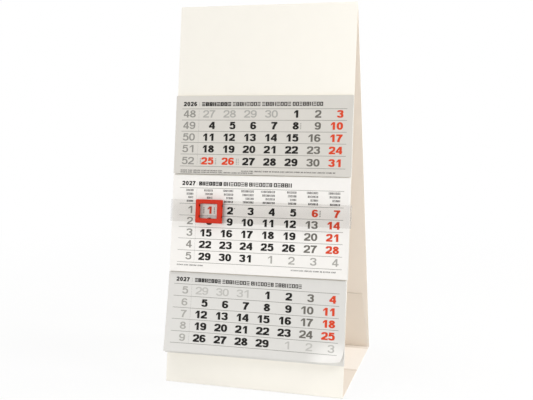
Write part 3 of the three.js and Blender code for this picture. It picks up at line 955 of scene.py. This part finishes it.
# Small print: the signs' height and width, the gap between two, the space between words, and the pen
SIGNS = "ladder bars frame posts ladder frame bars".split()
HEADING_RISE = 2.3
HEADING_BOLD = (HEADING_RISE, 1.9, 0.25, 0.9, (150, 120))
HEADING_PLAIN = (HEADING_RISE, 1.75, 0.3, 0.9, (120, 98))
WEEKDAY_BOLD = (1.15, 0.62, 0.2, 0, (150, 110))
WEEKDAY_PLAIN = (1.15, 0.62, 0.2, 0, (115, 95))
FOOTNOTE_SPACE = 0.6
FOOTNOTE_PRINT = (0.72, 0.42, 0.2, FOOTNOTE_SPACE, (120, 95))
FOOTNOTE_WORDS = [3.9, 2.6, 4.6, 3.1, 1.2] * 3

# The year: its width, then height, pen, pitch and how much wider its digits are drawn
YEAR_WIDTH = 8.3
YEAR_DRAWING = (2.5, (140, 118), 2.14, 1.04)

# Hairline rules, the line beside the heading, the dots of the line beside the weeks, and the small marks
# beside some days
RULE_HALF_HEIGHT = 0.105
RULE_STEP = 0.8
HEADING_LINE = (0.05, 2.2)
DOT_HALF_WIDTH, DOT_HEIGHT, DOT_PITCH, DOTS_INSET = 0.06, 0.4, 0.85, 0.6
MARK_RISE, MARK_PITCH, MARK_HEIGHT = 3.7, 0.95, 0.6
PALER_ON_BOTTOM = {"week": "faint", "faint": "faintest"}

# One page's print: the rules and the rows' baselines down the page, and the right edge of each column
TOP_LAYOUT = {
    "rules": [7.55, 14.05, 20.6, 27.18, 33.93, 40.93],
    "rule_ends": (-48.7, 49.2),
    "baselines": [12.58, 19.28, 26.08, 32.88, 39.88],
    "columns": [-40.17, -28.08, -15.58, -3.08, 9.42, 21.92, 34.58, 47.08],
    "upright": -38.1,
    "year": (-47.9, 5.95),
    "heading": (-36.5, [17.9, 16.7, 17.1, 17.5]),
    "footnotes": [(-48.1, 25.8, 42.95), (-11.0, 58.7, 42.95), (-48.1, 44.4, 44.05)],
    "weekdays": [],
}
MIDDLE_LAYOUT = {
    "rules": [7.5, 16.62, 23.45, 30.2, 36.86, 43.7, 50.61],
    "rule_ends": (-48.1, 49.2),
    "baselines": [22.28, 28.7, 35.45, 42.2, 49.11],
    "columns": [-39.4, -27.5, -15.0, -2.66, 9.84, 22.34, 34.84, 47.34],
    "upright": -37.6,
    "year": (-46.8, 6.05),
    "heading": (-36.3, [14.1, 14.5, 13.7, 10.5]),
    "footnotes": [(-48.1, 16.2, 51.9), (20.4, 27.2, 52.0)],
    "weekdays": [8.25, 10.35, 12.4, 14.5],
}
BOTTOM_LAYOUT = {
    "rules": [7.38, 14.42, 21.3, 28.0, 35.08, 41.95],
    "rule_ends": (-48.9, 49.0),
    "baselines": [13.05, 20.08, 26.92, 33.78, 40.75],
    "columns": [-40.06, -27.73, -15.23, -2.83, 9.57, 22.07, 34.61, 47.11],
    "digit_height": 4.42,
    "upright": -37.9,
    "year": (-47.7, 5.8),
    "heading": (-36.2, [15.9, 16.3, 13.3, 15.4]),
    "footnotes": [],
    "weekdays": [],
}


def month_rows(blank_days, day_before, days, first_week, red_days):
    """Rows of a month: the week, then (number, ink) from Monday to Sunday."""
    cells = [(str(day_before - blank_days + 1 + place), "faint") for place in range(blank_days)]
    for day in range(1, days + 1):
        column = len(cells) % 7
        ink = "red" if column == 6 or day in red_days else "saturday" if column == 5 else "black"
        cells.append((str(day), ink))
    following = 1
    while len(cells) % 7:
        cells.append((str(following), "faint"))
        following += 1
    return [(str(first_week + row), cells[7 * row:7 * row + 7]) for row in range(len(cells) // 7)]


def print_month(pad_name, order, body, layout, rows, year, side_marks=()):
    """Prints one page, a piece for each ink. Side marks are (ink, row, across, width, blocks)."""
    printings = {ink: Printing(pad_name, order) for ink in inks}
    left, right = layout["rule_ends"]
    for rule in layout["rules"]:
        printings["rule"].block(left, right, rule - RULE_HALF_HEIGHT, rule + RULE_HALF_HEIGHT, RULE_STEP)
    upright = layout["upright"]
    year_left, heading_baseline = layout["year"]
    half_width, line_height = HEADING_LINE
    printings["rule"].block(upright - half_width, upright + half_width, heading_baseline - line_height,
                            heading_baseline)
    down = layout["rules"][0] + DOTS_INSET
    while down < layout["rules"][-1] - DOTS_INSET:
        printings["rule"].block(upright - DOT_HALF_WIDTH, upright + DOT_HALF_WIDTH, down,
                                down + DOT_HEIGHT)
        down += DOT_PITCH
    printings["black"].number(year, year_left + YEAR_WIDTH, heading_baseline, *YEAR_DRAWING)
    start, widths = layout["heading"]
    heading_top = heading_baseline - HEADING_RISE
    across = printings["black"].words(start, widths[:1], heading_top, *HEADING_BOLD)
    printings["small"].words(across, widths[1:], heading_top, *HEADING_PLAIN)
    for line, down in enumerate(layout["weekdays"]):
        ink, drawing = ("black", WEEKDAY_BOLD) if line == 3 else ("small", WEEKDAY_PLAIN)
        for right_edge, widest in zip(layout["columns"], WEEKDAY_WIDTHS):
            width = widest * WEEKDAY_SHARES[line]
            printings[ink].words(right_edge - WEEKDAY_INSET - width, [width], down, *drawing)
    for footnote_left, width, down in layout["footnotes"]:
        count = 0
        while count < len(FOOTNOTE_WORDS) and (
                sum(FOOTNOTE_WORDS[:count + 1]) + FOOTNOTE_SPACE * count < width):
            count += 1
        printings["small"].words(footnote_left, FOOTNOTE_WORDS[:count], down, *FOOTNOTE_PRINT)
    paler = PALER_ON_BOTTOM if pad_name == "bottom" else {}
    height = layout.get("digit_height", DIGIT_HEIGHT)
    for (week, days), baseline in zip(rows, layout["baselines"]):
        printings[paler.get("week", "week")].number(week, layout["columns"][0], baseline, pen=WEEK_PEN)
        for (number, ink), right_edge in zip(days, layout["columns"][1:]):
            pen = {"faint": PLAIN_PEN, "saturday": MEDIUM_PEN}.get(ink, BOLD_PEN)
            printings[paler.get(ink, ink)].number(number, right_edge, baseline, height, pen)
    for ink, row, across, width, blocks in side_marks:
        baseline = layout["baselines"][row]
        for place in range(blocks):
            down = baseline - MARK_RISE + place * MARK_PITCH
            printings[ink].block(across, across + width, down, down + MARK_HEIGHT)
    for ink, printing in printings.items():
        material, record_slot = inks[ink]
        printing.piece(f"{pad_name}_page_{order + 1}_{ink}_print", material, body, record_slot)


print_month("top", 0, "top_page", TOP_LAYOUT, month_rows(4, 30, 31, 48, (25, 26)), "2026",
            [("faint", 4, -36.5, 0.8, 4), ("faint", 4, -27.2, 0.8, 4), ("faint", 4, -14.5, 0.8, 4),
             ("faint", 4, -13.2, 0.5, 4), ("faint", 1, 22.6, 0.7, 4)])
print_month("middle", 0, "front_panel", MIDDLE_LAYOUT, month_rows(0, 31, 31, 1, (1, 6)), "2027",
            [("week", 0, -33.2, 0.7, 4), ("week", 0, -26.7, 0.7, 4), ("week", 0, -14.5, 0.6, 1),
             ("week", 0, 35.6, 0.7, 4)])
print_month("bottom", 0, "bottom_page", BOTTOM_LAYOUT, month_rows(3, 31, 29, 5, ()), "2027")
print_month("top", 1, "front_panel", TOP_LAYOUT, month_rows(0, 31, 31, 1, (1, 6)), "2027")
print_month("bottom", 1, "front_panel", BOTTOM_LAYOUT, month_rows(4, 29, 31, 9, ()), "2027")


# ---- Film band
# A loop of clear polyester film round the panel and the middle pad, welded behind. It greys what lies
# under it a little and catches the light where it bends.

FILM_HEIGHT = 12.7
FILM_THICKNESS = 0.2
FILM_INSIDE_HALF = 53.1
FILM_FRONT_INSIDE = 3.7
FILM_REAR_INSIDE = -0.8
FILM_LOW_UP = 93.9
FILM_FRONT_BEND = 2.0
FILM_REAR_BEND = 0.8
FILM_BEND_STEPS = 12
FILM_WELD_HALF_WIDTH = 4
FILM_WELD_RISE = 0.08


def film_material(name, clear_colour, body_colour, mirror_index):
    """Clear film: lets nearly all light through, and mirrors the studio faintly, more so at a slant."""
    material, tree, place = new_material(name)
    clear = add_node(tree, "BsdfTransparent", {"Color": clear_colour})
    waves = noise(tree, place, 14, 1)
    relief = add_node(tree, "Bump", {"Strength": 0.3, "Distance": 0.0003, "Height": waves})
    gloss = add_node(tree, "BsdfPrincipled", {"Base Color": body_colour, "Roughness": 0.12,
                                              "IOR": 1.5, "Normal": relief})
    mirror = add_node(tree, "Fresnel", {"IOR": mirror_index, "Normal": relief})
    surface = add_node(tree, "MixShader", {0: mirror, 1: clear, 2: gloss})
    add_node(tree, "OutputMaterial", {"Surface": surface})
    return material


# The two bends are copies of the film with their own tints: the left one clearer, which paints it
# lighter, and the right one greyer with a darker gloss, which paints shade on it
film_face = film_material("clear polyester film", (0.95, 0.946, 0.942, 1), (0.85, 0.85, 0.84, 1), 1.09)
film_left_bend_painted_light = film_material("clear polyester film, left bend, painted lighter", (0.972, 0.971, 0.97, 1),
                              (0.8, 0.8, 0.79, 1), 1.05)
film_right_bend_painted_shade = film_material("clear polyester film, right bend, painted shade", (0.945, 0.942, 0.94, 1),
                               (0.5, 0.5, 0.49, 1), 1.02)


def film_loop(beyond, weld):
    """The loop in (across, outward), that far outside its inner face, with the weld in the middle of the
    back."""
    corners = [
        (1, FILM_FRONT_INSIDE, FILM_FRONT_BEND, 0), (-1, FILM_FRONT_INSIDE, FILM_FRONT_BEND, 90),
        (-1, FILM_REAR_INSIDE, FILM_REAR_BEND, 180), (1, FILM_REAR_INSIDE, FILM_REAR_BEND, 270),
    ]
    points = []
    for side, outward, bend, start in corners:
        centre = (side * (FILM_INSIDE_HALF - bend), outward - bend if outward > 0 else outward + bend)
        points += arc(centre, bend + beyond, start, start + 90, FILM_BEND_STEPS)
        if start == 180:
            points += [(across * FILM_WELD_HALF_WIDTH, outward - beyond - rise * weld)
                       for across, rise in ((-1, 0), (-0.97, 1), (0.97, 1), (1, 0))]
    return points


shape = bmesh.new()
film_high_up = FILM_LOW_UP + FILM_HEIGHT
loops = [[shape.verts.new((across, *front_slope(outward, up)))
          for across, outward in film_loop(beyond, weld)]
         for beyond, weld, up in (
             (0, 0, FILM_LOW_UP), (FILM_THICKNESS, FILM_WELD_RISE, FILM_LOW_UP),
             (FILM_THICKNESS, FILM_WELD_RISE, film_high_up), (0, 0, film_high_up))]
# Faces round each bend take that bend's tinted copy: painted lighter on the left, painted shade on the
# right
end_side = [0 if abs(across) < FILM_INSIDE_HALF - FILM_FRONT_BEND - 0.01 else 1 if across < 0 else 2
            for across, outward in film_loop(0, 0)]
for first, second in zip(loops, loops[1:] + loops[:1]):
    for index in range(len(first)):
        follow = (index + 1) % len(first)
        face = shape.faces.new((first[index], first[follow], second[follow], second[index]))
        face.material_index = end_side[index] if end_side[index] == end_side[follow] else 0
finish_form(shape)
closed_piece("clear_film_band", shape, [film_face, film_left_bend_painted_light, film_right_bend_painted_shade], "film_band",
             "film_band")


# ---- Date cursor
# A small frame injection moulded in red polystyrene. Channels along its top and bottom grip the film,
# and its window shows one day.

CURSOR_RED = "#CF2907"
CURSOR_LEFT = -37.05
CURSOR_RIGHT = -20.7
CURSOR_LOW_UP = 93.45
CURSOR_HIGH_UP = 107.05
CURSOR_BARS = {"left": 2.7, "right": 3.25, "top": 2.4, "bottom": 2.7}
CURSOR_CORNER = 0.6
WINDOW_CORNER = 0.35
PLATE_BACK = 4.0
PLATE_FRONT = 5.0
CHANNEL_WALL = 0.35
CHANNEL_LIP_BACK = 3.3
CHANNEL_LIP_FRONT = 3.6
CHANNEL_LIP_HEIGHT = 1.3
CHANNEL_INSETS = {"left": 0.9, "right": 0.3}
CORNER_STEPS = 5
NOTCH_DEPTH = 0.55
NOTCH_HEIGHT = 1.1
NOTCH_FROM_CORNER = 0.15
EDGE_NOTCH_DEPTH = 0.35
POCKET_FLOOR = 4.45
POCKET_ROUNDING = 0.02
CHANNEL_ROOT = 4.3

moulded_red, tree, place = new_material("moulded red polystyrene")
tone = linear(CURSOR_RED)
colour = mixed(tree, noise(tree, place, 3, 3), [c * 0.84 for c in tone], tone)
finish_material(tree, colour, 0.36, 1.59, (0.15, 0.00002, noise(tree, place, 0.4, 2)), 0.12)

notch_low = CURSOR_LOW_UP + CURSOR_BARS["bottom"] + WINDOW_CORNER + NOTCH_FROM_CORNER
notch_high = CURSOR_HIGH_UP - CURSOR_BARS["top"] - WINDOW_CORNER - NOTCH_FROM_CORNER


def rounded_frame(left, right, low, high, radius):
    points = []
    for centre, start in (((right - radius, high - radius), 0), ((left + radius, high - radius), 90),
                          ((left + radius, low + radius), 180), ((right - radius, low + radius), 270)):
        points += arc(centre, radius, start, start + 90, CORNER_STEPS)
    return points


def notched(outline, index, side, spans):
    """Cuts small notches sideways into the upright edge that starts at the given point. A span of no
    depth only gets the same count of points."""
    cut = []
    edge = outline[index][0]
    for start, end, depth in spans:
        reach = 0.25 * (end - start) if depth == 0 else 0
        cut += [(edge, start), (edge + side * depth, start + reach),
                (edge + side * depth, end - reach), (edge, end)]
    return outline[:index + 1] + cut + outline[index + 1:]


def frame_ring(shape, inset, window, outward):
    """A ring of the cursor's outline, or of its window, moved into the plastic by an amount. The window
    has a notch at each left corner and the outline two on its right edge."""
    if window:
        outline = rounded_frame(
            CURSOR_LEFT + CURSOR_BARS["left"] - inset, CURSOR_RIGHT - CURSOR_BARS["right"] + inset,
            CURSOR_LOW_UP + CURSOR_BARS["bottom"] - inset, CURSOR_HIGH_UP - CURSOR_BARS["top"] + inset,
            WINDOW_CORNER + inset)
    else:
        outline = rounded_frame(CURSOR_LEFT + inset, CURSOR_RIGHT - inset, CURSOR_LOW_UP + inset,
                                CURSOR_HIGH_UP - inset, CURSOR_CORNER)
    inner, outer = (NOTCH_DEPTH, 0) if window else (0, EDGE_NOTCH_DEPTH)
    outline = notched(outline, len(outline) - 1, -1, [
        (notch_low, notch_low + NOTCH_HEIGHT, outer), (notch_high - NOTCH_HEIGHT, notch_high, outer)])
    outline = notched(outline, 2 * CORNER_STEPS + 1, -1, [
        (notch_high, notch_high - NOTCH_HEIGHT, inner), (notch_low + NOTCH_HEIGHT, notch_low, inner)])
    return [shape.verts.new((across, *front_slope(outward, up))) for across, up in outline]


# The section of the frame from its outer edge round the rounded front to the window
FRAME_SECTION = (
    (0, False, PLATE_BACK), (0, False, 4.5), (0.06, False, 4.72), (0.22, False, 4.92),
    (0.45, False, PLATE_FRONT), (0.4, True, PLATE_FRONT), (0.18, True, 4.93), (0.04, True, 4.75),
    (0, True, 4.5), (0, True, PLATE_BACK),
)
shape = bmesh.new()
join_rings(shape, [frame_ring(shape, *corner) for corner in FRAME_SECTION], closed=True)
finish_form(shape, 40)
closed_piece("red_cursor_frame", shape, [moulded_red], "date_cursor", "date_cursor")

# The notches are pockets with a floor, coloured a dark red as painted shade
POCKET_SHADE_LIGHT_RED = "#521008"
POCKET_SHADE_DARK_RED = "#3A0A08"
pocket_shade, tree, place = new_material("moulded red polystyrene, floor of a pocket")
colour = mixed(tree, noise(tree, place, 1.5, 2), linear(POCKET_SHADE_DARK_RED), linear(POCKET_SHADE_LIGHT_RED))
finish_material(tree, colour, 0.6, 1.59, specular=0.1)
window_left = CURSOR_LEFT + CURSOR_BARS["left"]
for name, left, right, low in (
        ("window_top", window_left - NOTCH_DEPTH, window_left, notch_high - NOTCH_HEIGHT),
        ("window_bottom", window_left - NOTCH_DEPTH, window_left, notch_low),
        ("edge_top", CURSOR_RIGHT - EDGE_NOTCH_DEPTH, CURSOR_RIGHT, notch_high - NOTCH_HEIGHT),
        ("edge_bottom", CURSOR_RIGHT - EDGE_NOTCH_DEPTH, CURSOR_RIGHT, notch_low)):
    profile = [front_slope(outward, up) for outward, up in (
        (PLATE_BACK, low), (PLATE_BACK, low + NOTCH_HEIGHT), (POCKET_FLOOR, low + NOTCH_HEIGHT),
        (POCKET_FLOOR, low))]
    shape = bar_across(profile, left, right, POCKET_ROUNDING, end_slot=0)
    closed_piece(f"red_cursor_{name}_pocket", shape, [pocket_shade], "date_cursor")

# The two channels behind the plate, each with a lip that hooks behind the film
for name, edge_up, inward in (("top", CURSOR_HIGH_UP, -1), ("bottom", CURSOR_LOW_UP, 1)):
    wall = edge_up + inward * CHANNEL_WALL
    lip_end = wall + inward * CHANNEL_LIP_HEIGHT
    profile = [front_slope(outward, up) for outward, up in (
        (CHANNEL_ROOT, edge_up), (CHANNEL_LIP_BACK, edge_up), (CHANNEL_LIP_BACK, lip_end),
        (CHANNEL_LIP_FRONT, lip_end), (CHANNEL_LIP_FRONT, wall), (CHANNEL_ROOT, wall))]
    shape = bar_across(profile, CURSOR_LEFT + CHANNEL_INSETS["left"],
                       CURSOR_RIGHT - CHANNEL_INSETS["right"], end_slot=0)
    closed_piece(f"red_cursor_{name}_channel", shape, [moulded_red], "date_cursor")
